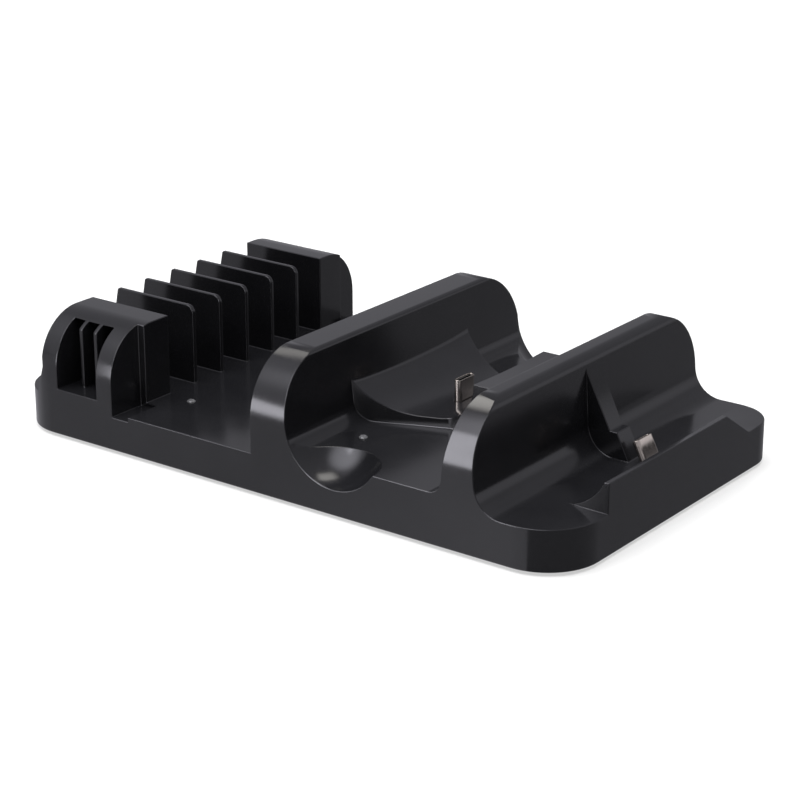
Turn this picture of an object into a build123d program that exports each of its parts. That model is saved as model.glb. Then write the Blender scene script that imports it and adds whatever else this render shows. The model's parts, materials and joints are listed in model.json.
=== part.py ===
"""Desktop charging dock for two game controllers, with a rack for game cases and slots for game cards.

Frame: +X runs along the long front face to the right, +Y to the back, +Z up.
The origin is the middle of the footprint on the surface that the feet stand on. All sizes are millimetres.
"""
import os
from math import cos, pi, radians, sin, tan

from build123d import *

# Moulded body
LENGTH = 204.5
DEPTH = 118.8
FRONT_CORNER_RADIUS = 17.0
BACK_CORNER_RADIUS = 13.0
WALL = 2.2
FOOT_DROP = 1.0

# The rack, the plugs and their supports share one middle line, behind the middle of the base
AXIS_Y = 1.5

# Tray and game case rack, heights from the body's lower edge
TRAY_HEIGHT = 12.0
RACK_INSET = 13.5
RACK_REACH = 31.4
RACK_HEIGHT = 37.2
RACK_ARCH = 16.5
RACK_FLARE = 3.2
SLOT_COUNT = 6
SLOT_WIDTH = 11.2
RIB_THICKNESS = 1.4
RIB_FLARE = 5.0
RIB_LEFT_CORNER = 0.8
RIB_CORNER = 2.5
SIDE_RECESS = 2.5
RECESS_FROM_AXIS = 48.0
GROOVE_WIDTH = 6.5
GROOVE_DEPTH = 1.4

# Card slots in the front block of the rack
CARD_SLOT_COUNT = 3
CARD_SLOT_WIDTH = 4.5
CARD_DIVIDER = 1.4
CARD_MARGIN = 6.4
CARD_FLOOR = 14.8
CARD_CEILING = 35.4
CARD_DEPTH = 21.5
CARD_SETBACK = 6.0

# Cradle walls: each leans out to its foot by its flare
WALL_HEIGHT = 41.1
WALL_ARCH = 19.0
FIRST_WALL_TOP = 10.8
FIRST_WALL_FLARE = 3.2
FIRST_WALL_EDGE = 1.5
SECOND_WALL_TOP = 7.4
SECOND_WALL_LEFT_FLARE = 2.2
SECOND_WALL_RIGHT_FLARE = 2.2
SECOND_WALL_EDGE = 3.5
OUTER_EDGE = 0.8

# First cradle, between the two walls
CRADLE_WIDTH = 58.5
DECK_HEIGHT = 15.5
CRADLE_FOOT_RADIUS = 6.0
CRADLE_CORNER_RADIUS = 4.5
SCOOP_RADIUS = 17.2
SCOOP_OFFSET = 19.15
SCOOP_HEIGHT = 25.0
SCOOP_OVERHANG = 0.6
CRADLE_POCKET_MARGIN = 5.0
CRADLE_POCKET_INSET = 16.0

# Second cradle, an open valley with a raised end wall
VALLEY_LENGTH = 31.0
VALLEY_HEIGHT = 12.5
VALLEY_RADIUS = 9.0
END_WALL_HEIGHT = 21.5
END_WALL_TOP = 1.7
END_WALL_FOOT = 13.0
END_WALL_SAG = 1.7
END_WALL_FRONT = 21.7
END_WALL_BACK = 19.1
END_RAMP = 14.0

# Saddle that the first controller sits on, measured from the first wall's inner top edge
SADDLE_WIDE = 60.4
SADDLE_NARROW = 36.6
SADDLE_TAPER = 29.6
SADDLE_HEIGHT = 29.0
SADDLE_BED_HEIGHT = 18.0
SADDLE_DISH = 400.0
SADDLE_BED_START = 21.6
SADDLE_BED_LENGTH = 4.6
LOBE_HEIGHT = 30.6
LOBE_RADIUS = 11.3

# Fin that the second controller leans on
FIN_WIDTH = 7.0
FIN_LEAN = 27.0
FIN_FOOT_GAP = 2.6
FIN_HEIGHT = 38.4
FIN_STEP = 2.3
FIN_STEP_HEIGHT = 20.6

# Charging plugs, each a pill-shaped steel shell round a slotted insulator in a boot
PLUG_WIDTH = 8.25
PLUG_THICKNESS = 2.4
PLUG_SHEET = 0.3
PLUG_SLOT_WIDTH = 6.7
PLUG_SLOT_THICKNESS = 0.8
PLUG_SLOT_CORNER = 0.25
PLUG_SLOT_DEPTH = 5.2
BOOT_WIDTH = 10.4
BOOT_THICKNESS = 4.4
BOOT_CORNER = 1.6
FIRST_BOOT_LENGTH = 5.7
FIRST_PLUG_REACH = 8.2
SECOND_BOOT_LENGTH = 3.0
SECOND_PLUG_REACH = 9.5
FIRST_PLUG_OFFSET = 21.6
FIRST_PLUG_TIP = 24.7
SECOND_PLUG_STANDOFF = 5.0
SECOND_PLUG_TIP = 19.5

# Plug boards, across and along each plug
PLUG_BOARD_THICKNESS = 1.2
FIRST_BOARD_HALF_LENGTH = 7.5
FIRST_BOARD_HALF_WIDTH = 11.0
SECOND_BOARD_LEFT = 8.0
SECOND_BOARD_RIGHT = 3.0
SECOND_BOARD_HALF_WIDTH = 10.0
PLUG_SCREW_SPREAD = 8.2
SECOND_SCREW_BACK = 5.2
PLUG_BOSS = 4.4
PLUG_BOSS_LENGTH = 5.4

# Bottom cover and its screws
COVER_THICKNESS = 2.0
SCREW_DIAMETER = 2.4
SCREW_LENGTH = 7.0
SCREW_HEAD = 4.6
SCREW_HEAD_HEIGHT = 1.2
BOSS_DIAMETER = 6.4
CORNER_BOSS_INSET = 14.0
MIDDLE_BOSS_INSET = 11.5

# Rubber feet
FOOT_DIAMETER = 10.0
FOOT_RECESS = 0.8
FOOT_EDGE = 0.4
FOOT_INSET_X = 32.0
FOOT_INSET_Y = 16.0

# Main board and input board, on posts of the cover
BOARD_THICKNESS = 1.6
BOARD_POST = 5.0
BOARD_POST_HEIGHT = 2.0
MAIN_BOARD_OVERHANG = 9.6
MAIN_BOARD_WIDTH = 20.0
MAIN_BOARD_FRONT = 16.5
BOARD_SCREW_INSET = 3.4
BOARD_SCREW_DIAMETER = 2.0
BOARD_SCREW_LENGTH = 4.4
BOARD_SCREW_HEAD = 3.6
BOARD_SCREW_HEAD_HEIGHT = 1.2
INPUT_BOARD_LENGTH = 17.0
INPUT_BOARD_WIDTH = 12.6
INPUT_SCREW_INSET = 2.2
INPUT_OFFSET = 26.0

# Charging input: a pill-shaped steel socket in the back face
SOCKET_WIDTH = 8.94
SOCKET_HEIGHT = 3.26
SOCKET_DEPTH = 7.4
SOCKET_SHEET = 0.3
SOCKET_BACK = 1.0
SOCKET_SETBACK = 0.3
TONGUE_WIDTH = 6.7
TONGUE_THICKNESS = 0.7
TONGUE_LENGTH = 5.2

# Status lights
LIGHT_DIAMETER = 2.6
LIGHT_FLANGE = 4.2
LIGHT_FLANGE_HEIGHT = 0.8
LIGHT_RISE = 0.5
LIGHT_EDGE = 0.4
LIGHT_FROM_FRONT = 22.0
TRAY_LIGHT_OFFSET = 10.0
CRADLE_LIGHT_OFFSET = 13.4
LED_LENGTH = 2.0
LED_WIDTH = 1.3
LED_HEIGHT = 0.8
LED_GAP = 0.3

# Chips, wire headers and leads
CHIP_SIZE = 5.0
CHIP_HEIGHT = 1.0
CHIP_SPACING = 12.0
HEADER_LENGTH = 6.0
HEADER_WIDTH = 4.5
HEADER_HEIGHT = 2.6
LEAD_DIAMETER = 1.8
LEAD_BEND = 3.6
LEAD_SPACING = 0.8
INPUT_LEAD_RUN = 12.0
INPUT_HEADER_SHIFT = 10.0
FIRST_HEADER_OFFSET = 7.2
SECOND_HEADER_OFFSET = 14.2
SECOND_PLUG_HEADER_BACK = 1.0

# Clearances
FIT_GAP = 0.1
SEAT_GAP = 0.15
HOLE_GAP = 0.3

# Planes and levels that follow from the sizes
LEFT, RIGHT = -LENGTH / 2, LENGTH / 2
FRONT, BACK = -DEPTH / 2, DEPTH / 2
BOTTOM = FOOT_DROP
TRAY = BOTTOM + TRAY_HEIGHT
DECK = BOTTOM + DECK_HEIGHT
VALLEY = BOTTOM + VALLEY_HEIGHT
WALL_TOP = BOTTOM + WALL_HEIGHT
RACK_TOP = BOTTOM + RACK_HEIGHT
COVER_TOP = BOTTOM + COVER_THICKNESS
BOARD_BOTTOM = COVER_TOP + BOARD_POST_HEIGHT
BOARD_TOP = BOARD_BOTTOM + BOARD_THICKNESS
POCKET_TOP = TRAY - WALL
DECK_UNDERSIDE = DECK - WALL

RACK_LEFT = LEFT + RACK_INSET
RACK_RIGHT = RACK_LEFT + RACK_REACH
SLOT_PITCH = SLOT_WIDTH + RIB_THICKNESS
RACK_GAP = SLOT_COUNT * SLOT_PITCH - RIB_THICKNESS
SECOND_WALL_RIGHT = RIGHT - VALLEY_LENGTH
SECOND_WALL_LEFT = SECOND_WALL_RIGHT - SECOND_WALL_TOP
FIRST_WALL_RIGHT = SECOND_WALL_LEFT - CRADLE_WIDTH
FIRST_WALL_LEFT = FIRST_WALL_RIGHT - FIRST_WALL_TOP
SCOOP_X = FIRST_WALL_RIGHT + SCOOP_OFFSET
FIN_FOOT = RIGHT - END_WALL_FOOT - FIN_FOOT_GAP
TRAY_LIGHT_X = RACK_RIGHT + TRAY_LIGHT_OFFSET
CRADLE_LIGHT_X = FIRST_WALL_RIGHT + CRADLE_LIGHT_OFFSET
LIGHT_Y = FRONT + LIGHT_FROM_FRONT
INPUT_X = FIRST_WALL_LEFT - INPUT_OFFSET
MAIN_BOARD_LEFT = TRAY_LIGHT_X - MAIN_BOARD_OVERHANG
MAIN_BOARD_RIGHT = CRADLE_LIGHT_X + MAIN_BOARD_OVERHANG
MAIN_BOARD_Y = FRONT + MAIN_BOARD_FRONT
HEADER_Y = MAIN_BOARD_Y + MAIN_BOARD_WIDTH - HEADER_WIDTH / 2 - FIT_GAP
INPUT_BOARD_BACK = BACK - WALL - SEAT_GAP

LEAN_SLOPE = tan(radians(FIN_LEAN))
BOSS_PLACES = [
    (side * (LENGTH / 2 - CORNER_BOSS_INSET), end * (DEPTH / 2 - CORNER_BOSS_INSET))
    for side in (-1, 1)
    for end in (-1, 1)
]
BOSS_PLACES += [
    ((FIRST_WALL_LEFT + FIRST_WALL_RIGHT) / 2, end * (DEPTH / 2 - MIDDLE_BOSS_INSET))
    for end in (-1, 1)
]
FOOT_PLACES = {
    f"foot_{end}_{side}": (sx * (LENGTH / 2 - FOOT_INSET_X), sy * (DEPTH / 2 - FOOT_INSET_Y))
    for end, sy in (("front", -1), ("back", 1))
    for side, sx in (("left", -1), ("right", 1))
}

# Each plug stands on its board: the board's upper face is the plug's own z = 0
FIRST_PLUG = Pos(
    FIRST_WALL_RIGHT + FIRST_PLUG_OFFSET,
    AXIS_Y,
    BOTTOM + FIRST_PLUG_TIP - FIRST_PLUG_REACH - FIRST_BOOT_LENGTH,
)
SECOND_TIP_X = (
    FIN_FOOT - (SECOND_PLUG_TIP - VALLEY_HEIGHT) * LEAN_SLOPE + SECOND_PLUG_STANDOFF / cos(radians(FIN_LEAN))
)
SECOND_RISE = SECOND_PLUG_REACH + SECOND_BOOT_LENGTH
SECOND_PLUG = Pos(
    SECOND_TIP_X + SECOND_RISE * sin(radians(FIN_LEAN)),
    AXIS_Y,
    BOTTOM + SECOND_PLUG_TIP - SECOND_RISE * cos(radians(FIN_LEAN)),
) * Rot(0, -FIN_LEAN, 0)


# Shared shapes


def span(x, y, z):
    """A block given by its low and high limit along each axis."""
    size = [high - low for low, high in (x, y, z)]
    middle = [(high + low) / 2 for low, high in (x, y, z)]
    return Pos(*middle) * Box(*size)


def plan_prism(inset, low, high):
    """The body's rounded footprint, brought in by an inset."""
    outline = Rectangle(LENGTH - 2 * inset, DEPTH - 2 * inset)
    outline = fillet(outline.vertices().sort_by(Axis.Y)[:2], FRONT_CORNER_RADIUS - inset)
    outline = fillet(outline.vertices().sort_by(Axis.Y)[-2:], BACK_CORNER_RADIUS - inset)
    return Pos(0, 0, low) * extrude(outline, high - low)


def arch_prism(left, right, top, radius):
    """A bar along X over the full depth, with both top ends rounded over."""
    side = Pos(0, (BOTTOM + top) / 2) * Rectangle(DEPTH, top - BOTTOM)
    side = fillet(side.vertices().sort_by(Axis.Y)[-2:], radius)
    return Pos(left, 0, 0) * extrude(Plane.YZ * side, right - left)


def section_prism(section, front, back):
    """A section drawn in X and Z, carried from front to back."""
    return Pos(0, back, 0) * extrude(Plane.XZ * section, back - front)


def soften(section, corner, radius):
    """Round one corner of a section."""
    return fillet(section.vertices().sort_by_distance(Vector(*corner))[0], radius)


def mirrored(shape):
    """The shape and its mirror image at the back."""
    return [shape, mirror(shape, Plane.XZ)]


def pin(diameter, low, high):
    """A round post along Z."""
    return Pos(0, 0, low) * extrude(Circle(diameter / 2), high - low)


def pill(width, thickness):
    """A slot shape with its width along Y."""
    return SlotOverall(width, thickness, rotation=90)


# Body moulding


def cradle_section():
    """Both cradle walls, the deck between them and the valley, seen from the front."""
    corners = {
        "low_left": (FIRST_WALL_LEFT, BOTTOM),
        "first_left": (FIRST_WALL_LEFT, WALL_TOP),
        "first_right": (FIRST_WALL_RIGHT, WALL_TOP),
        "first_foot": (FIRST_WALL_RIGHT + FIRST_WALL_FLARE, DECK),
        "second_foot": (SECOND_WALL_LEFT - SECOND_WALL_LEFT_FLARE, DECK),
        "second_left": (SECOND_WALL_LEFT, WALL_TOP),
        "second_right": (SECOND_WALL_RIGHT, WALL_TOP),
        "valley_foot": (SECOND_WALL_RIGHT + SECOND_WALL_RIGHT_FLARE, VALLEY),
        "valley_end": (RIGHT, VALLEY),
        "low_right": (RIGHT, BOTTOM),
    }
    radii = {
        "first_left": OUTER_EDGE,
        "first_right": FIRST_WALL_EDGE,
        "first_foot": CRADLE_FOOT_RADIUS,
        "second_foot": CRADLE_CORNER_RADIUS,
        "second_left": OUTER_EDGE,
        "second_right": SECOND_WALL_EDGE,
        "valley_foot": VALLEY_RADIUS,
    }
    section = make_face(Polyline(*corners.values(), close=True))
    for name, radius in radii.items():
        section = soften(section, corners[name], radius)
    return section


def end_wall():
    """The raised wall at the right end: a hollow inner side, a square front end and a ramp at the back."""
    top = BOTTOM + END_WALL_HEIGHT
    crest = (RIGHT - END_WALL_TOP, top)
    foot = (RIGHT - END_WALL_FOOT, VALLEY)
    outline = Polyline(foot, (foot[0], BOTTOM), (RIGHT, BOTTOM), (RIGHT, top), crest)
    bar = section_prism(
        make_face(outline + SagittaArc(crest, foot, END_WALL_SAG)),
        FRONT + END_WALL_FRONT,
        BACK - END_WALL_BACK,
    )
    ramp_top = BACK - END_WALL_BACK - END_RAMP
    ramp = make_face(
        Polyline(
            (ramp_top, top),
            (BACK - END_WALL_BACK, VALLEY),
            (BACK - END_WALL_BACK, top),
            close=True,
        )
    )
    return bar - Pos(RIGHT - END_WALL_FOOT, 0, 0) * extrude(Plane.YZ * ramp, END_WALL_FOOT)


def rib(y):
    """One thin divider of the rack: its left edge leans out to the tray, and its top corners are rounded."""
    left_top, right_top = (RACK_LEFT, RACK_TOP), (RACK_RIGHT, RACK_TOP)
    feet = ((RACK_RIGHT, BOTTOM), (RACK_LEFT, BOTTOM), (RACK_LEFT - RIB_FLARE, TRAY))
    plate = make_face(Polyline(left_top, right_top, *feet, close=True))
    plate = soften(plate, left_top, RIB_LEFT_CORNER)
    plate = soften(plate, right_top, RIB_CORNER)
    return section_prism(plate, y - RIB_THICKNESS / 2, y + RIB_THICKNESS / 2)


def rack():
    """The two arched end blocks, which lean out at the foot of their left side, and the ribs between them."""
    bar = arch_prism(RACK_LEFT, RACK_RIGHT, RACK_TOP, RACK_ARCH)
    flare_top = (RACK_LEFT, RACK_TOP - RACK_ARCH)
    flare = make_face(Polyline(flare_top, (RACK_LEFT, BOTTOM), (RACK_LEFT - RACK_FLARE, TRAY), close=True))
    bar += section_prism(flare, FRONT, BACK)
    between = (AXIS_Y - RACK_GAP / 2, AXIS_Y + RACK_GAP / 2)
    shape = bar - span((LEFT, RACK_RIGHT), between, (TRAY, RACK_TOP))
    for index in range(1, SLOT_COUNT):
        shape += rib(AXIS_Y + (index - SLOT_COUNT / 2) * SLOT_PITCH)
    return shape


def rack_recesses():
    """Steps in the blocks' right sides that run on as grooves in the tray floor."""
    x = (RACK_RIGHT - SIDE_RECESS, RACK_RIGHT - SIDE_RECESS + GROOVE_WIDTH)
    z = (TRAY - GROOVE_DEPTH, RACK_TOP)
    ends = ((FRONT, AXIS_Y - RECESS_FROM_AXIS), (AXIS_Y + RECESS_FROM_AXIS, BACK))
    return [span(x, y, z) for y in ends]


def card_pocket():
    """The open front of the card slots and the slots behind it, as the space to take out."""
    left = RACK_LEFT + CARD_MARGIN
    pitch = CARD_SLOT_WIDTH + CARD_DIVIDER
    right = left + CARD_SLOT_COUNT * pitch - CARD_DIVIDER
    heights = (BOTTOM + CARD_FLOOR, BOTTOM + CARD_CEILING)
    space = [span((left, right), (FRONT, FRONT + CARD_SETBACK), heights)]
    for index in range(CARD_SLOT_COUNT):
        start = left + index * pitch
        space.append(span((start, start + CARD_SLOT_WIDTH), (FRONT, FRONT + CARD_DEPTH), heights))
    return space


def scoop(radius):
    """The ball that hollows the deck's front edge for a trigger."""
    return Pos(SCOOP_X, FRONT - SCOOP_OVERHANG, BOTTOM + SCOOP_HEIGHT) * Sphere(radius)


def inner_space():
    """The room under the deck, open at the bottom, that leaves a skin round the scoops."""
    space = plan_prism(WALL, 0, POCKET_TOP)
    space += span(
        (FIRST_WALL_RIGHT + CRADLE_POCKET_MARGIN, SECOND_WALL_LEFT - CRADLE_POCKET_MARGIN),
        (FRONT + CRADLE_POCKET_INSET, BACK - CRADLE_POCKET_INSET),
        (POCKET_TOP - WALL, DECK_UNDERSIDE),
    )
    for ball in mirrored(scoop(SCOOP_RADIUS + WALL)):
        space -= ball
    return space


def cover_bosses():
    """Posts inside the body that the cover is screwed to."""
    post = pin(BOSS_DIAMETER, COVER_TOP, POCKET_TOP + WALL / 2)
    bore = pin(SCREW_DIAMETER + FIT_GAP, COVER_TOP, BOTTOM + SCREW_HEAD_HEIGHT + SCREW_LENGTH + HOLE_GAP)
    return [(Pos(x, y) * post, Pos(x, y) * bore) for x, y in BOSS_PLACES]


def plug_bosses():
    """Posts that carry the plug boards, along each plug's own axis."""
    short_post = pin(PLUG_BOSS, 0, DECK - WALL / 2 - FIRST_PLUG.position.Z)
    long_post = pin(PLUG_BOSS, 0, PLUG_BOSS_LENGTH)
    bore = pin(BOARD_SCREW_DIAMETER + FIT_GAP, 0, BOARD_SCREW_LENGTH - PLUG_BOARD_THICKNESS)
    pairs = [(place * short_post, place * bore) for place in first_screw_places()]
    return pairs + [(place * long_post, place * bore) for place in second_screw_places()]


def plug_passage(boot_length, reach):
    """The room that a plug needs: a pocket for its boot, then a close hole for its shell."""
    boot_outline = RectangleRounded(BOOT_THICKNESS, BOOT_WIDTH, BOOT_CORNER)
    pocket = extrude(offset(boot_outline, HOLE_GAP), boot_length + HOLE_GAP)
    return pocket + extrude(offset(pill(PLUG_WIDTH, PLUG_THICKNESS), SEAT_GAP), boot_length + reach)


# Supports moulded into the cradles


def saddle():
    """A dished pad between the walls: its section turns about a far axis above, so its ends rise."""
    start, far_end = FIRST_WALL_RIGHT, SECOND_WALL_LEFT
    bed = BOTTOM + SADDLE_BED_HEIGHT
    rise = SADDLE_HEIGHT - SADDLE_BED_HEIGHT
    wall_radius = (SADDLE_BED_START**2 + rise**2) / (2 * rise)
    wall_side = (start, BOTTOM + SADDLE_HEIGHT)
    bed_left = (start + SADDLE_BED_START, bed)
    bed_right = (bed_left[0] + SADDLE_BED_LENGTH, bed)
    lobe_foot = (bed_right[0] + LOBE_RADIUS, bed + LOBE_RADIUS)
    lobe_top = (lobe_foot[0], BOTTOM + LOBE_HEIGHT)
    outline = [
        RadiusArc(wall_side, bed_left, -wall_radius),
        Line(bed_left, bed_right),
        RadiusArc(bed_right, lobe_foot, -LOBE_RADIUS),
        Polyline(lobe_foot, lobe_top, (far_end, lobe_top[1]), (far_end, BOTTOM), (start, BOTTOM), wall_side),
    ]
    turn_axis = Axis((0, AXIS_Y, bed + SADDLE_DISH), (1, 0, 0))
    half_turn = SADDLE_WIDE / SADDLE_DISH * 180 / pi
    sheet = Pos(0, AXIS_Y, 0) * (Plane.XZ * make_face(outline))
    dish = revolve(sheet, turn_axis, 2 * half_turn).rotate(turn_axis, -half_turn)
    half_wide, half_narrow = SADDLE_WIDE / 2, SADDLE_NARROW / 2
    taper_end = start + SADDLE_TAPER
    half_plan = Polyline(
        (start, 0),
        (start, -half_wide),
        (taper_end, -half_narrow),
        (far_end, -half_narrow),
        (far_end, 0),
    )
    plan = make_face(half_plan + mirror(half_plan, Plane.XZ))
    return dish & Pos(0, AXIS_Y, DECK - WALL / 2) * extrude(plan, WALL_HEIGHT)


def fin():
    """A stepped fin that leans as the plug does and runs into the second wall at its top."""
    step = BOTTOM + FIN_STEP_HEIGHT
    top = BOTTOM + FIN_HEIGHT
    lower_top = FIN_FOOT - (step - VALLEY) * LEAN_SLOPE
    upper_foot = lower_top - FIN_STEP
    upper_top = upper_foot - (top - step) * LEAN_SLOPE
    section = make_face(
        Polyline(
            (SECOND_WALL_LEFT, VALLEY - WALL / 2),
            (FIN_FOOT, VALLEY - WALL / 2),
            (FIN_FOOT, VALLEY),
            (lower_top, step),
            (upper_foot, step),
            (upper_top, top),
            (SECOND_WALL_LEFT, top),
            close=True,
        )
    )
    return section_prism(section, AXIS_Y - FIN_WIDTH / 2, AXIS_Y + FIN_WIDTH / 2)


def top_housing():
    cradle = section_prism(cradle_section(), FRONT, BACK)
    cradle &= arch_prism(FIRST_WALL_LEFT, RIGHT, WALL_TOP, WALL_ARCH)
    body = plan_prism(0, BOTTOM, TRAY) & span((LEFT, FIRST_WALL_LEFT), (FRONT, BACK), (BOTTOM, TRAY))
    body += rack()
    body += cradle
    body += end_wall()
    body += saddle()
    body += fin()
    body &= plan_prism(0, BOTTOM, WALL_TOP)
    for space in rack_recesses() + card_pocket() + mirrored(scoop(SCOOP_RADIUS)):
        body -= space
    body -= inner_space()
    for post, bore in cover_bosses() + plug_bosses():
        body = body + post - bore
    body -= FIRST_PLUG * plug_passage(FIRST_BOOT_LENGTH, FIRST_PLUG_REACH)
    body -= SECOND_PLUG * plug_passage(SECOND_BOOT_LENGTH, SECOND_PLUG_REACH)
    for x, floor in light_places():
        body -= Pos(x, LIGHT_Y) * pin(LIGHT_DIAMETER + 2 * FIT_GAP, COVER_TOP, floor + WALL)
    socket_hole = extrude(socket_outline(HOLE_GAP), SOCKET_SETBACK + WALL)
    return body - socket_place() * Pos(0, 0, -SOCKET_SETBACK) * socket_hole


# Cover and feet


def bottom_cover():
    plate = plan_prism(WALL + SEAT_GAP, BOTTOM, COVER_TOP)
    for x, y in board_posts():
        post = pin(BOARD_POST, COVER_TOP, BOARD_BOTTOM)
        bore_end = BOARD_TOP - BOARD_SCREW_LENGTH - HOLE_GAP
        bore = pin(BOARD_SCREW_DIAMETER + FIT_GAP, bore_end, BOARD_BOTTOM)
        plate = plate + Pos(x, y) * post - Pos(x, y) * bore
    head_room = pin(SCREW_HEAD + HOLE_GAP, BOTTOM, BOTTOM + SCREW_HEAD_HEIGHT)
    shank_room = pin(SCREW_DIAMETER + HOLE_GAP, BOTTOM, COVER_TOP)
    for x, y in BOSS_PLACES:
        plate -= Pos(x, y) * (head_room + shank_room)
    for x, y in FOOT_PLACES.values():
        plate -= Pos(x, y) * pin(FOOT_DIAMETER + FIT_GAP, BOTTOM, BOTTOM + FOOT_RECESS)
    return plate


def cover_screws():
    head = pin(SCREW_HEAD, BOTTOM, BOTTOM + SCREW_HEAD_HEIGHT)
    shank = pin(SCREW_DIAMETER, BOTTOM + SCREW_HEAD_HEIGHT, BOTTOM + SCREW_HEAD_HEIGHT + SCREW_LENGTH)
    return Compound([Pos(x, y) * (head + shank) for x, y in BOSS_PLACES])


def foot(x, y):
    pad = pin(FOOT_DIAMETER, 0, BOTTOM + FOOT_RECESS)
    pad = chamfer(pad.edges().sort_by(Axis.Z)[0], FOOT_EDGE)
    return Pos(x, y) * pad


# Plugs


def plug_parts(boot_length, reach):
    """Shell, insulator and boot of one plug, standing on its board."""
    length = boot_length + reach
    tube = extrude(pill(PLUG_WIDTH, PLUG_THICKNESS), length)
    core = pill(PLUG_WIDTH - 2 * PLUG_SHEET, PLUG_THICKNESS - 2 * PLUG_SHEET)
    shell = tube - extrude(core, length)
    insulator = extrude(offset(core, -FIT_GAP / 2), length - PLUG_SHEET)
    mouth = RectangleRounded(PLUG_SLOT_THICKNESS, PLUG_SLOT_WIDTH, PLUG_SLOT_CORNER)
    slot = Pos(0, 0, length - PLUG_SLOT_DEPTH) * extrude(mouth, PLUG_SLOT_DEPTH)
    boot = extrude(RectangleRounded(BOOT_THICKNESS, BOOT_WIDTH, BOOT_CORNER), boot_length)
    boot -= extrude(offset(pill(PLUG_WIDTH, PLUG_THICKNESS), FIT_GAP / 2), length)
    return {"shell": shell, "insulator": insulator - slot, "boot": boot}


def first_board():
    length = (-FIRST_BOARD_HALF_LENGTH, FIRST_BOARD_HALF_LENGTH)
    return FIRST_PLUG * plug_board(length, FIRST_BOARD_HALF_WIDTH, 0)


def second_board():
    length = (-SECOND_BOARD_LEFT, SECOND_BOARD_RIGHT)
    return SECOND_PLUG * plug_board(length, SECOND_BOARD_HALF_WIDTH, -SECOND_SCREW_BACK)


def plug_board(length, half_width, screw_x):
    board = span(length, (-half_width, half_width), (-PLUG_BOARD_THICKNESS, 0))
    hole = pin(BOARD_SCREW_DIAMETER + HOLE_GAP, -PLUG_BOARD_THICKNESS, 0)
    for side in (-1, 1):
        board -= Pos(screw_x, side * PLUG_SCREW_SPREAD) * hole
    return board


def first_screw_places():
    return [FIRST_PLUG * Pos(0, side * PLUG_SCREW_SPREAD) for side in (-1, 1)]


def second_screw_places():
    return [SECOND_PLUG * Pos(-SECOND_SCREW_BACK, side * PLUG_SCREW_SPREAD) for side in (-1, 1)]


def plug_board_screws():
    """Screws driven up through the plug boards into their posts."""
    head = pin(BOARD_SCREW_HEAD, -PLUG_BOARD_THICKNESS - BOARD_SCREW_HEAD_HEIGHT, -PLUG_BOARD_THICKNESS)
    screw = head + pin(BOARD_SCREW_DIAMETER, -PLUG_BOARD_THICKNESS, BOARD_SCREW_LENGTH - PLUG_BOARD_THICKNESS)
    return Compound([place * screw for place in first_screw_places() + second_screw_places()])


# Boards and what stands on them


def main_posts():
    return [
        (x, y)
        for x in (MAIN_BOARD_LEFT + BOARD_SCREW_INSET, MAIN_BOARD_RIGHT - BOARD_SCREW_INSET)
        for y in (MAIN_BOARD_Y + BOARD_SCREW_INSET, MAIN_BOARD_Y + MAIN_BOARD_WIDTH - BOARD_SCREW_INSET)
    ]


def input_posts():
    reach = INPUT_BOARD_LENGTH / 2 - INPUT_SCREW_INSET
    y = INPUT_BOARD_BACK - INPUT_BOARD_WIDTH + BOARD_SCREW_INSET
    return [(INPUT_X - reach, y), (INPUT_X + reach, y)]


def board_posts():
    return main_posts() + input_posts()


def drilled_board(x, y, places):
    board = span(x, y, (BOARD_BOTTOM, BOARD_TOP))
    hole = pin(BOARD_SCREW_DIAMETER + HOLE_GAP, BOARD_BOTTOM, BOARD_TOP)
    for px, py in places:
        board -= Pos(px, py) * hole
    return board


def main_board():
    x = (MAIN_BOARD_LEFT, MAIN_BOARD_RIGHT)
    return drilled_board(x, (MAIN_BOARD_Y, MAIN_BOARD_Y + MAIN_BOARD_WIDTH), main_posts())


def input_board():
    x = (INPUT_X - INPUT_BOARD_LENGTH / 2, INPUT_X + INPUT_BOARD_LENGTH / 2)
    return drilled_board(x, (INPUT_BOARD_BACK - INPUT_BOARD_WIDTH, INPUT_BOARD_BACK), input_posts())


def board_screws():
    screw = pin(BOARD_SCREW_DIAMETER, BOARD_TOP - BOARD_SCREW_LENGTH, BOARD_TOP)
    screw += pin(BOARD_SCREW_HEAD, BOARD_TOP, BOARD_TOP + BOARD_SCREW_HEAD_HEIGHT)
    return Compound([Pos(x, y) * screw for x, y in board_posts()])


def charge_chips():
    y = MAIN_BOARD_Y + MAIN_BOARD_WIDTH / 2
    middle = (MAIN_BOARD_LEFT + MAIN_BOARD_RIGHT) / 2
    return Compound(
        [
            span(
                (middle + side * CHIP_SPACING - CHIP_SIZE / 2, middle + side * CHIP_SPACING + CHIP_SIZE / 2),
                (y - CHIP_SIZE / 2, y + CHIP_SIZE / 2),
                (BOARD_TOP, BOARD_TOP + CHIP_HEIGHT),
            )
            for side in (-1, 1)
        ]
    )


# Charging input


def socket_place():
    """The socket's mouth, with its own z axis into the body."""
    mouth = (INPUT_X, BACK - SOCKET_SETBACK, BOARD_TOP + SOCKET_HEIGHT / 2)
    return Plane(origin=mouth, x_dir=(1, 0, 0), z_dir=(0, -1, 0))


def socket_outline(margin):
    return SlotOverall(SOCKET_WIDTH + 2 * margin, SOCKET_HEIGHT + 2 * margin)


def socket_shell():
    tube = extrude(socket_outline(0), SOCKET_DEPTH)
    tube -= extrude(socket_outline(-SOCKET_SHEET), SOCKET_DEPTH)
    return socket_place() * tube


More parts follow.
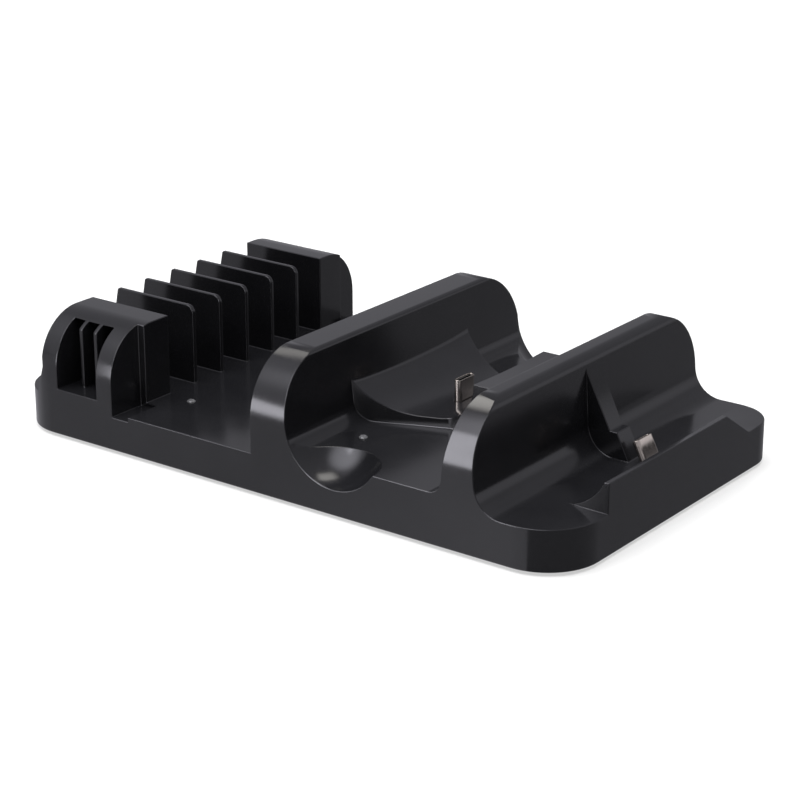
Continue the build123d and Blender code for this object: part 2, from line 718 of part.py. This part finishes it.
def socket_tongue():
    plug = extrude(socket_outline(-SOCKET_SHEET - FIT_GAP / 2), SOCKET_BACK)
    back = Pos(0, 0, SOCKET_DEPTH - SOCKET_BACK) * plug
    blade_start = SOCKET_DEPTH - SOCKET_BACK - TONGUE_LENGTH
    blade = Pos(0, 0, blade_start) * extrude(Rectangle(TONGUE_WIDTH, TONGUE_THICKNESS), TONGUE_LENGTH)
    return socket_place() * (back + blade)


# Status lights


def light_places():
    """Each light's x and the level of the floor that it shows through."""
    return [(TRAY_LIGHT_X, TRAY), (CRADLE_LIGHT_X, DECK)]


def light_pipe(x, floor):
    """A round rod with a bevelled top, held by a flange under the floor."""
    low = BOARD_TOP + LED_HEIGHT + LED_GAP
    ceiling = floor - WALL
    rod = pin(LIGHT_DIAMETER, low, floor + LIGHT_RISE)
    rod = chamfer(rod.edges().sort_by(Axis.Z)[-1], LIGHT_EDGE)
    return Pos(x, LIGHT_Y) * (rod + pin(LIGHT_FLANGE, ceiling - LIGHT_FLANGE_HEIGHT, ceiling))


def indicator_leds():
    return Compound(
        [
            span(
                (x - LED_LENGTH / 2, x + LED_LENGTH / 2),
                (LIGHT_Y - LED_WIDTH / 2, LIGHT_Y + LED_WIDTH / 2),
                (BOARD_TOP, BOARD_TOP + LED_HEIGHT),
            )
            for x, _ in light_places()
        ]
    )


# Wiring


def header_points():
    """Where each lead starts and ends: the middle of a header's face."""
    middle = BOARD_TOP + HEADER_HEIGHT / 2
    under = -PLUG_BOARD_THICKNESS - HEADER_HEIGHT / 2
    input_y = INPUT_BOARD_BACK - INPUT_BOARD_WIDTH + HEADER_WIDTH / 2
    first = FIRST_PLUG * Pos(-HEADER_LENGTH / 2, 0, under)
    second = SECOND_PLUG * Pos(-SECOND_PLUG_HEADER_BACK, 0, under)
    return {
        "input_board": Pos(INPUT_X, input_y, middle),
        "main_input": Pos(INPUT_X + INPUT_HEADER_SHIFT, HEADER_Y, middle),
        "main_first": Pos(FIRST_WALL_RIGHT + FIRST_HEADER_OFFSET, HEADER_Y, middle),
        "main_second": Pos(FIRST_WALL_RIGHT + SECOND_HEADER_OFFSET, HEADER_Y, middle),
        "first_board": first,
        "second_board": second,
    }


def wire_headers():
    block = Box(HEADER_LENGTH, HEADER_WIDTH, HEADER_HEIGHT)
    return Compound([place * block for place in header_points().values()])


def lead(points):
    """A round lead along straight runs and tangent arcs."""
    path = FilletPolyline(*points, radius=LEAD_BEND)
    return sweep(Plane(origin=path @ 0, z_dir=path % 0) * Circle(LEAD_DIAMETER / 2), path=path)


def leads():
    at = {name: place.position for name, place in header_points().items()}
    face = Vector(0, HEADER_WIDTH / 2, 0)
    run = Vector(0, INPUT_LEAD_RUN, 0)
    start, end = at["main_input"] + face, at["input_board"] - face
    shapes = {"input_lead": lead([start, start + run, end - run, end])}
    second_run = LEAD_BEND + LEAD_SPACING
    first_run = second_run + LEAD_DIAMETER + LEAD_SPACING
    for name, run in (("first", first_run), ("second", second_run)):
        start, end = at[f"main_{name}"] + face, at[f"{name}_board"] - face
        bend = start + Vector(0, run, 0)
        shapes[f"{name}_plug_lead"] = lead([start, bend, Vector(end.X, bend.Y, end.Z), end])
    return shapes


def build():
    parts = {
        "top_housing": top_housing(),
        "bottom_cover": bottom_cover(),
        "first_plug_board": first_board(),
        "second_plug_board": second_board(),
        "plug_board_screws": plug_board_screws(),
        "main_board": main_board(),
        "input_board": input_board(),
        "board_screws": board_screws(),
        "charge_chips": charge_chips(),
        "indicator_leds": indicator_leds(),
        "input_socket_shell": socket_shell(),
        "input_socket_tongue": socket_tongue(),
        "wire_headers": wire_headers(),
        "cover_screws": cover_screws(),
    }
    for name, place, boot_length, reach in (
        ("first_plug", FIRST_PLUG, FIRST_BOOT_LENGTH, FIRST_PLUG_REACH),
        ("second_plug", SECOND_PLUG, SECOND_BOOT_LENGTH, SECOND_PLUG_REACH),
    ):
        for piece, shape in plug_parts(boot_length, reach).items():
            parts[f"{name}_{piece}"] = place * shape
    for name, (x, floor) in zip(("tray_light_pipe", "cradle_light_pipe"), light_places()):
        parts[name] = light_pipe(x, floor)
    for name, (x, y) in FOOT_PLACES.items():
        parts[name] = foot(x, y)
    parts.update(leads())
    return parts


os.makedirs("parts", exist_ok=True)
for node, shape in build().items():
    export_step(shape, f"parts/{node}.step")
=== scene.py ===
"""Looks of the controller charging dock: materials, softened edges, studio and camera."""

import json
import math

import bmesh
import bpy
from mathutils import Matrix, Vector

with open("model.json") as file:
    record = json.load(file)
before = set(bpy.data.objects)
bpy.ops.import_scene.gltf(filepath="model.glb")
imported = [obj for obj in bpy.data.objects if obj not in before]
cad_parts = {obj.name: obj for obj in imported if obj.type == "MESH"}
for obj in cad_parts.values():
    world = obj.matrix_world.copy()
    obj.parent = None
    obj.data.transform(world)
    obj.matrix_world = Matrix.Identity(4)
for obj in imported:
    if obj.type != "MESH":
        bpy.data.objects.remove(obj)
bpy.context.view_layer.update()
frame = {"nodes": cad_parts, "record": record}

MM = 0.001

# The photograph's camera, for a square frame
CAMERA_AT = (0.40904, -0.54370, 0.26341)
CAMERA_TURN = (math.radians(69.781), 0.0, math.radians(36.676))
CAMERA_LENS = 106.72
CAMERA_SENSOR = 36.0
CAMERA_NEAR = 0.01
CAMERA_FAR = 50.0

# Softened edges of the moulded and pressed pieces
EDGE_ANGLE = math.radians(42)
FLAT_ANGLE = math.radians(0.5)
EDGE_STEPS = 3
JOIN_DISTANCE = 0.002 * MM

# Fine unevenness of the surfaces
NOISE_LOW = 0.3
NOISE_HIGH = 0.7
CLOUD_SIZE = 14 * MM
SKIN_SIZE = 0.35 * MM
SKIN_DEPTH = 0.0015 * MM
PLASTIC_WANDER = 0.02
METAL_WANDER = 0.05


# Node helpers


def empty_material(name):
    """A node material that holds only its output."""
    material = bpy.data.materials.new(name)
    material.use_nodes = True
    tree = material.node_tree
    tree.nodes.clear()
    output = tree.nodes.new("ShaderNodeOutputMaterial")
    return material, tree, output


def new_material(name):
    """A node material with its output and a Principled shader."""
    material, tree, output = empty_material(name)
    shader = tree.nodes.new("ShaderNodeBsdfPrincipled")
    tree.links.new(shader.outputs["BSDF"], output.inputs["Surface"])
    return material, tree, shader


def noise(tree, size, detail=2.0, stretch=(1.0, 1.0, 1.0)):
    """Noise in the row frame whose grains are about the given size in metres."""
    place = tree.nodes.new("ShaderNodeTexCoord")
    mapping = tree.nodes.new("ShaderNodeMapping")
    mapping.inputs["Scale"].default_value = stretch
    grain = tree.nodes.new("ShaderNodeTexNoise")
    grain.inputs["Scale"].default_value = 1.0 / size
    grain.inputs["Detail"].default_value = detail
    tree.links.new(place.outputs["Object"], mapping.inputs["Vector"])
    tree.links.new(mapping.outputs["Vector"], grain.inputs["Vector"])
    return grain.outputs["Fac"]


def spread(tree, fac, low, high):
    """The noise carried over to a range of values."""
    step = tree.nodes.new("ShaderNodeMapRange")
    step.inputs["From Min"].default_value = NOISE_LOW
    step.inputs["From Max"].default_value = NOISE_HIGH
    step.inputs["To Min"].default_value = low
    step.inputs["To Max"].default_value = high
    tree.links.new(fac, step.inputs["Value"])
    return step.outputs["Result"]


def tones(tree, fac, dark, light):
    """The noise carried over to two neighbouring colours."""
    ramp = tree.nodes.new("ShaderNodeValToRGB")
    ramp.color_ramp.elements[0].position = NOISE_LOW
    ramp.color_ramp.elements[0].color = (*dark, 1.0)
    ramp.color_ramp.elements[1].position = NOISE_HIGH
    ramp.color_ramp.elements[1].color = (*light, 1.0)
    tree.links.new(fac, ramp.inputs["Fac"])
    return ramp.outputs["Color"]


def relief(tree, shader, height, depth):
    """A fine surface texture of the given depth in metres."""
    bump = tree.nodes.new("ShaderNodeBump")
    bump.inputs["Strength"].default_value = 1.0
    bump.inputs["Distance"].default_value = depth
    tree.links.new(height, bump.inputs["Height"])
    tree.links.new(bump.outputs["Normal"], shader.inputs["Normal"])


# Materials


def moulded_plastic(name, dark, light, roughness, coat, coat_roughness):
    """Moulded plastic: slightly uneven tone and gloss, a fine skin, and a polished tool's sheen over it."""
    material, tree, shader = new_material(name)
    cloud = noise(tree, CLOUD_SIZE, detail=3.0)
    grain = noise(tree, SKIN_SIZE, detail=1.0)
    tree.links.new(tones(tree, cloud, dark, light), shader.inputs["Base Color"])
    gloss = spread(tree, cloud, roughness - PLASTIC_WANDER, roughness + PLASTIC_WANDER)
    tree.links.new(gloss, shader.inputs["Roughness"])
    relief(tree, shader, grain, SKIN_DEPTH)
    shader.inputs["Coat Weight"].default_value = coat
    shader.inputs["Coat Roughness"].default_value = coat_roughness
    return material


def rubber(name, dark, light):
    """Matt rubber with an open grain."""
    material, tree, shader = new_material(name)
    grain = noise(tree, 0.5 * MM, detail=4.0)
    tree.links.new(tones(tree, grain, dark, light), shader.inputs["Base Color"])
    tree.links.new(spread(tree, grain, 0.6, 0.75), shader.inputs["Roughness"])
    relief(tree, shader, grain, 0.02 * MM)
    return material


def brushed_metal(name, dark, light, roughness):
    """Pressed sheet metal with a drawn grain along its length."""
    material, tree, shader = new_material(name)
    grain = noise(tree, 0.4 * MM, detail=3.0, stretch=(1.0, 1.0, 0.12))
    tree.links.new(tones(tree, grain, dark, light), shader.inputs["Base Color"])
    gloss = spread(tree, grain, roughness - METAL_WANDER, roughness + METAL_WANDER)
    tree.links.new(gloss, shader.inputs["Roughness"])
    relief(tree, shader, grain, 0.002 * MM)
    shader.inputs["Metallic"].default_value = 1.0
    return material


def circuit_board(name):
    """Green solder mask with slightly lighter copper tracks under it."""
    material, tree, shader = new_material(name)
    tracks = tree.nodes.new("ShaderNodeTexBrick")
    place = tree.nodes.new("ShaderNodeTexCoord")
    tracks.inputs["Scale"].default_value = 160.0
    tracks.inputs["Mortar Size"].default_value = 0.03
    tracks.inputs["Color1"].default_value = (0.008, 0.075, 0.028, 1.0)
    tracks.inputs["Color2"].default_value = (0.010, 0.090, 0.034, 1.0)
    tracks.inputs["Mortar"].default_value = (0.022, 0.150, 0.060, 1.0)
    tree.links.new(place.outputs["Object"], tracks.inputs["Vector"])
    tree.links.new(tracks.outputs["Color"], shader.inputs["Base Color"])
    tree.links.new(spread(tree, noise(tree, 2 * MM), 0.3, 0.4), shader.inputs["Roughness"])
    relief(tree, shader, tracks.outputs["Fac"], 0.03 * MM)
    return material


def clear_plastic(name):
    """Clear moulded light pipe with a faint haze."""
    material, tree, shader = new_material(name)
    haze = noise(tree, 0.6 * MM)
    tree.links.new(tones(tree, haze, (0.16, 0.16, 0.17), (0.24, 0.24, 0.25)), shader.inputs["Base Color"])
    tree.links.new(spread(tree, haze, 0.12, 0.2), shader.inputs["Roughness"])
    shader.inputs["Transmission Weight"].default_value = 0.5
    shader.inputs["IOR"].default_value = 1.49
    return material


# Each plastic: darkest and lightest tone, roughness, then the weight and roughness of its coat
HOUSING = moulded_plastic(
    "housing_plastic", (0.0080, 0.0080, 0.0093), (0.0098, 0.0098, 0.0113), 0.18, 0.0, 0.05)
COVER = moulded_plastic("cover_plastic", (0.0060, 0.0060, 0.0065), (0.0095, 0.0095, 0.0100), 0.50, 0.2, 0.30)
BOOT = moulded_plastic("boot_plastic", (0.0070, 0.0070, 0.0075), (0.0100, 0.0100, 0.0105), 0.45, 0.3, 0.20)
INSULATOR = moulded_plastic("insulator_plastic", (0.008, 0.008, 0.008), (0.014, 0.014, 0.014), 0.45, 0.2, 0.2)
HEADER = moulded_plastic("header_plastic", (0.62, 0.60, 0.53), (0.70, 0.68, 0.61), 0.45, 0.1, 0.20)
CHIP = moulded_plastic("chip_plastic", (0.012, 0.012, 0.013), (0.020, 0.020, 0.021), 0.55, 0.0, 0.20)
LEAD = moulded_plastic("lead_jacket", (0.010, 0.010, 0.010), (0.016, 0.016, 0.016), 0.50, 0.1, 0.30)
LAMP = moulded_plastic("lamp_lens", (0.70, 0.69, 0.60), (0.80, 0.79, 0.70), 0.30, 0.5, 0.10)
FOOT = rubber("foot_rubber", (0.010, 0.010, 0.010), (0.020, 0.020, 0.020))
PLUG_STEEL = brushed_metal("plug_steel", (0.68, 0.61, 0.54), (0.76, 0.69, 0.62), 0.17)
SCREW_STEEL = brushed_metal("screw_steel", (0.30, 0.30, 0.31), (0.42, 0.42, 0.43), 0.30)
BOARD = circuit_board("board_mask")
LIGHT_PIPE = clear_plastic("light_pipe_plastic")

SLOT_LOOKS = {
    "housing": HOUSING,
    "cover": COVER,
    "plug_steel": PLUG_STEEL,
    "insulator": INSULATOR,
    "boot": BOOT,
    "board": BOARD,
    "chip": CHIP,
    "lamp": LAMP,
    "light_pipe": LIGHT_PIPE,
    "screw_steel": SCREW_STEEL,
    "header": HEADER,
    "lead": LEAD,
    "foot": FOOT,
}

# How far each node's edges are softened, in millimetres
EDGE_WIDTHS = {
    "top_housing": 0.30,
    "bottom_cover": 0.20,
    "first_plug_boot": 0.20,
    "second_plug_boot": 0.20,
    "first_plug_shell": 0.08,
    "second_plug_shell": 0.08,
    "input_socket_shell": 0.06,
}


def soften_edges(piece, width):
    """Join the faces, merge the flat facets, round every sharp edge and shade the flats evenly."""
    join = piece.modifiers.new("join", "WELD")
    join.merge_threshold = JOIN_DISTANCE
    flats = piece.modifiers.new("flats", "DECIMATE")
    flats.decimate_type = "DISSOLVE"
    flats.angle_limit = FLAT_ANGLE
    edges = piece.modifiers.new("edges", "BEVEL")
    edges.width = width * MM
    edges.segments = EDGE_STEPS
    edges.limit_method = "ANGLE"
    edges.angle_limit = EDGE_ANGLE
    edges.use_clamp_overlap = False
    shade = piece.modifiers.new("shade", "WEIGHTED_NORMAL")
    shade.keep_sharp = True


def dress(name, piece, look):
    """Give a CAD node its material, smooth shading and softened edges."""
    piece.data.materials.clear()
    piece.data.materials.append(look)
    piece.data.shade_smooth()
    if name in EDGE_WIDTHS:
        soften_edges(piece, EDGE_WIDTHS[name])


slots = {part["node"]: part["material_slot"] for part in frame["record"]["subparts"]}
for name, piece in frame["nodes"].items():
    dress(name, piece, SLOT_LOOKS[slots[name]])


# Stage, light and camera

FLOOR_WIDTH = 8.0
FLOOR_DROP = 0.05 * MM
FLOOR_WHITE = 0.92
FLOOR_GLOW = 0.55
FLOOR_BOUNCE = 0.35
WORLD_LIGHT = 0.25
FADE_SHARE = 0.3


def light_path_share(tree):
    """1 for rays that come straight from the camera, from a reflection or through glass, else 0."""
    path = tree.nodes.new("ShaderNodeLightPath")
    seen = tree.nodes.new("ShaderNodeMath")
    seen.operation = "MAXIMUM"
    tree.links.new(path.outputs["Is Camera Ray"], seen.inputs[0])
    tree.links.new(path.outputs["Is Glossy Ray"], seen.inputs[1])
    both = tree.nodes.new("ShaderNodeMath")
    both.operation = "MAXIMUM"
    tree.links.new(seen.outputs["Value"], both.inputs[0])
    tree.links.new(path.outputs["Is Transmission Ray"], both.inputs[1])
    return both.outputs["Value"]


def sheet(name, width, height):
    """A flat sheet about its own middle."""
    x = width / 2
    y = height / 2
    mesh = bpy.data.meshes.new(name)
    mesh.from_pydata([(-x, -y, 0), (x, -y, 0), (x, y, 0), (-x, y, 0)], [], [(0, 1, 2, 3)])
    thing = bpy.data.objects.new(name, mesh)
    bpy.context.collection.objects.link(thing)
    return thing


def pale_floor():
    """A white floor that keeps the shadow and looks as white as the background."""
    floor = sheet("floor", FLOOR_WIDTH, FLOOR_WIDTH)
    floor.location.z = -FLOOR_DROP
    material, tree, output = empty_material("floor_white")
    white = tree.nodes.new("ShaderNodeBsdfDiffuse")
    white.inputs["Color"].default_value = (FLOOR_WHITE, FLOOR_WHITE, FLOOR_WHITE, 1.0)
    grey = tree.nodes.new("ShaderNodeBsdfDiffuse")
    grey.inputs["Color"].default_value = (FLOOR_BOUNCE, FLOOR_BOUNCE, FLOOR_BOUNCE, 1.0)
    glow = tree.nodes.new("ShaderNodeEmission")
    glow.inputs["Strength"].default_value = 1.0
    seen = tree.nodes.new("ShaderNodeMixShader")
    seen.inputs["Fac"].default_value = FLOOR_GLOW
    tree.links.new(white.outputs["BSDF"], seen.inputs[1])
    tree.links.new(glow.outputs["Emission"], seen.inputs[2])
    mix = tree.nodes.new("ShaderNodeMixShader")
    tree.links.new(light_path_share(tree), mix.inputs["Fac"])
    tree.links.new(grey.outputs["BSDF"], mix.inputs[1])
    tree.links.new(seen.outputs["Shader"], mix.inputs[2])
    tree.links.new(mix.outputs["Shader"], output.inputs["Surface"])
    floor.data.materials.append(material)


def pale_world():
    """White where it is seen or mirrored, and a plain soft light elsewhere."""
    world = bpy.data.worlds.new("studio")
    bpy.context.scene.world = world
    world.use_nodes = True
    tree = world.node_tree
    tree.nodes.clear()
    output = tree.nodes.new("ShaderNodeOutputWorld")
    sky = tree.nodes.new("ShaderNodeBackground")
    sky.inputs["Color"].default_value = (1.0, 1.0, 1.0, 1.0)
    strength = tree.nodes.new("ShaderNodeMapRange")
    strength.inputs["To Min"].default_value = WORLD_LIGHT
    strength.inputs["To Max"].default_value = 1.0
    tree.links.new(light_path_share(tree), strength.inputs["Value"])
    tree.links.new(strength.outputs["Result"], sky.inputs["Strength"])
    tree.links.new(sky.outputs["Background"], output.inputs["Surface"])


def aim(thing, at, target):
    """Put a thing in its place, facing the target."""
    thing.location = at
    thing.rotation_euler = (Vector(target) - Vector(at)).to_track_quat("-Z", "Y").to_euler()


def soft_lamp(name, at, target, width, height, power, tint):
    """A soft lamp for the shadow and the plain level of light."""
    data = bpy.data.lights.new(name, "AREA")
    data.shape = "RECTANGLE"
    data.size = width
    data.size_y = height
    data.energy = power
    data.color = tint
    lamp = bpy.data.objects.new(name, data)
    bpy.context.collection.objects.link(lamp)
    aim(lamp, at, target)
    lamp.visible_camera = False
    lamp.visible_glossy = False


def glow_only_in_gloss(thing, name, colour, strength):
    """Make a piece of the stage shine, and show it only in reflections."""
    material, tree, output = empty_material(name)
    shine = tree.nodes.new("ShaderNodeEmission")
    shine.inputs["Color"].default_value = (*colour, 1.0)
    tree.links.new(shine.outputs["Emission"], output.inputs["Surface"])
    tree.links.new(strength(tree), shine.inputs["Strength"])
    thing.data.materials.append(material)
    thing.visible_camera = False
    thing.visible_diffuse = False
    thing.visible_shadow = False
    thing.visible_transmission = False


def even(glow):
    """The same glow all over."""
    def strength(tree):
        value = tree.nodes.new("ShaderNodeValue")
        value.outputs["Value"].default_value = glow
        return value.outputs["Value"]
    return strength


def faded(glow):
    """A glow that is full in the middle of a sheet and fades out to its edges."""
    def strength(tree):
        place = tree.nodes.new("ShaderNodeTexCoord")
        axes = tree.nodes.new("ShaderNodeSeparateXYZ")
        tree.links.new(place.outputs["Generated"], axes.inputs["Vector"])
        total = even(glow)(tree)
        for axis in ("X", "Y"):
            inward = tree.nodes.new("ShaderNodeMath")
            inward.operation = "PINGPONG"
            inward.inputs[1].default_value = 0.5
            step = tree.nodes.new("ShaderNodeMapRange")
            step.interpolation_type = "SMOOTHSTEP"
            step.inputs["From Max"].default_value = FADE_SHARE
            both = tree.nodes.new("ShaderNodeMath")
            both.operation = "MULTIPLY"
            tree.links.new(axes.outputs[axis], inward.inputs[0])
            tree.links.new(inward.outputs["Value"], step.inputs["Value"])
            tree.links.new(step.outputs["Result"], both.inputs[0])
            tree.links.new(total, both.inputs[1])
            total = both.outputs["Value"]
        return total
    return strength


def along_x(from_x, from_glow, to_x, to_glow):
    """A glow that changes along X, in the row frame."""
    def strength(tree):
        place = tree.nodes.new("ShaderNodeNewGeometry")
        axes = tree.nodes.new("ShaderNodeSeparateXYZ")
        step = tree.nodes.new("ShaderNodeMapRange")
        step.interpolation_type = "SMOOTHSTEP"
        step.inputs["From Min"].default_value = from_x
        step.inputs["From Max"].default_value = to_x
        step.inputs["To Min"].default_value = from_glow
        step.inputs["To Max"].default_value = to_glow
        tree.links.new(place.outputs["Position"], axes.inputs["Vector"])
        tree.links.new(axes.outputs["X"], step.inputs["Value"])
        return step.outputs["Result"]
    return strength


def soft_spots(base, spots):
    """A base glow with soft round spots, each at a compass and a height angle."""
    def strength(tree):
        place = tree.nodes.new("ShaderNodeTexCoord")
        way = tree.nodes.new("ShaderNodeVectorMath")
        way.operation = "NORMALIZE"
        tree.links.new(place.outputs["Object"], way.inputs[0])
        total = even(base)(tree)
        for azimuth, elevation, inner, outer, glow in spots:
            facing = tree.nodes.new("ShaderNodeVectorMath")
            facing.operation = "DOT_PRODUCT"
            facing.inputs[1].default_value = toward(azimuth, elevation, 1.0, (0.0, 0.0, 0.0))
            step = tree.nodes.new("ShaderNodeMapRange")
            step.interpolation_type = "SMOOTHSTEP"
            step.inputs["From Min"].default_value = math.cos(math.radians(outer))
            step.inputs["From Max"].default_value = math.cos(math.radians(inner))
            step.inputs["To Max"].default_value = glow
            add = tree.nodes.new("ShaderNodeMath")
            tree.links.new(way.outputs["Vector"], facing.inputs[0])
            tree.links.new(facing.outputs["Value"], step.inputs["Value"])
            tree.links.new(total, add.inputs[0])
            tree.links.new(step.outputs["Result"], add.inputs[1])
            total = add.outputs["Value"]
        return total
    return strength


def reflector(name, at, target, width, height, strength, tint):
    """A studio card that shows only in reflections."""
    card = sheet(name, width, height)
    aim(card, at, target)
    glow_only_in_gloss(card, name, tint, strength)


def mat(name, low, high, strength):
    """A grey sheet on the floor between two corners, which only the gloss shows."""
    cover = sheet(name, high[0] - low[0], high[1] - low[1])
    cover.location = ((low[0] + high[0]) / 2, (low[1] + high[1]) / 2, -MAT_DROP)
    glow_only_in_gloss(cover, name, COOL, strength)


def tent(name, radius, strength):
    """A dim dome round the studio, so that the gloss mirrors soft areas instead of plain white."""
    mesh = bpy.data.meshes.new(name)
    shape = bmesh.new()
    bmesh.ops.create_uvsphere(shape, u_segments=48, v_segments=24, radius=radius)
    shape.to_mesh(mesh)
    shape.free()
    dome = bpy.data.objects.new(name, mesh)
    bpy.context.collection.objects.link(dome)
    glow_only_in_gloss(dome, name, COOL, strength)


def toward(azimuth, elevation, distance, start=(0.0, 0.0, 0.03)):
    """A point that far from the start, by its compass angle from +X towards +Y and its height angle."""
    turn = math.radians(azimuth)
    rise = math.radians(elevation)
    way = Vector((math.cos(turn) * math.cos(rise), math.sin(turn) * math.cos(rise), math.sin(rise)))
    return Vector(start) + way * distance


COOL = (0.93, 0.92, 1.0)
WARM = (1.0, 0.97, 0.93)
WHITE = (1.0, 1.0, 1.0)
MIDDLE = (0.0, 0.0, 0.02)

# Soft areas of the tent: compass angle, height angle, inner and outer half width in degrees, and added glow
TENT_RADIUS = 3.0
TENT_BASE = 0.40
TENT_SPOTS = (
    (-142, 42, 10, 45, 0.45),
    (-105, 58, 10, 34, 3.1),
    (126, 16, 8, 22, 0.05),
    (107, 38, 8, 30, -0.08),
    (48, 14, 4, 16, 0.3),
)

# The mats meet below the front right corner
MAT_DROP = 0.02 * MM
MAT_EDGE = 1.4
MAT_SEAM = 0.090

pale_floor()
pale_world()

# Lamps: place, target, width, height, power and tint
soft_lamp("key", toward(-130, 58, 1.2), MIDDLE, 0.9, 0.9, 8.0, WHITE)
soft_lamp("top", (0.0, 0.05, 1.3), MIDDLE, 1.2, 1.0, 24.0, WHITE)

# What only the gloss shows: the tent, the cards for the highlights of the wall ends, and the mats
tent("tent", TENT_RADIUS, soft_spots(TENT_BASE, TENT_SPOTS))
reflector("first_wall_card", (-0.091, 0.008, 0.146), (0.0, -0.047, 0.04), 0.05, 0.026, even(2.6), WARM)
reflector("second_wall_card", (0.0, -0.01, 0.133), (0.068, -0.047, 0.041), 0.075, 0.06, faded(4.5), WARM)
reflector("low_front_card", (-0.09, -0.245, 0.036), (0.02, -0.05, 0.036), 0.2, 0.07, even(8.0), COOL)
reflector("tall_front_card", (-0.007, -0.156, 0.07), (0.068, -0.057, 0.031), 0.045, 0.115, even(8.5), COOL)
mat("front_mat", (-MAT_EDGE, -MAT_EDGE), (MAT_SEAM, 0.0), along_x(-0.02, 0.62, 0.08, 0.95))
mat("right_mat", (MAT_SEAM, -MAT_EDGE), (MAT_EDGE, MAT_EDGE), even(0.28))
mat("back_mat", (-MAT_EDGE, 0.0), (MAT_SEAM, MAT_EDGE), even(0.31))

camera_data = bpy.data.cameras.new("camera")
camera_data.sensor_width = CAMERA_SENSOR
camera_data.lens = CAMERA_LENS
camera_data.clip_start = CAMERA_NEAR
camera_data.clip_end = CAMERA_FAR
camera = bpy.data.objects.new("camera", camera_data)
camera.location = CAMERA_AT
camera.rotation_euler = CAMERA_TURN
bpy.context.collection.objects.link(camera)
bpy.context.scene.camera = camera
bpy.context.scene.view_settings.view_transform = "Standard"
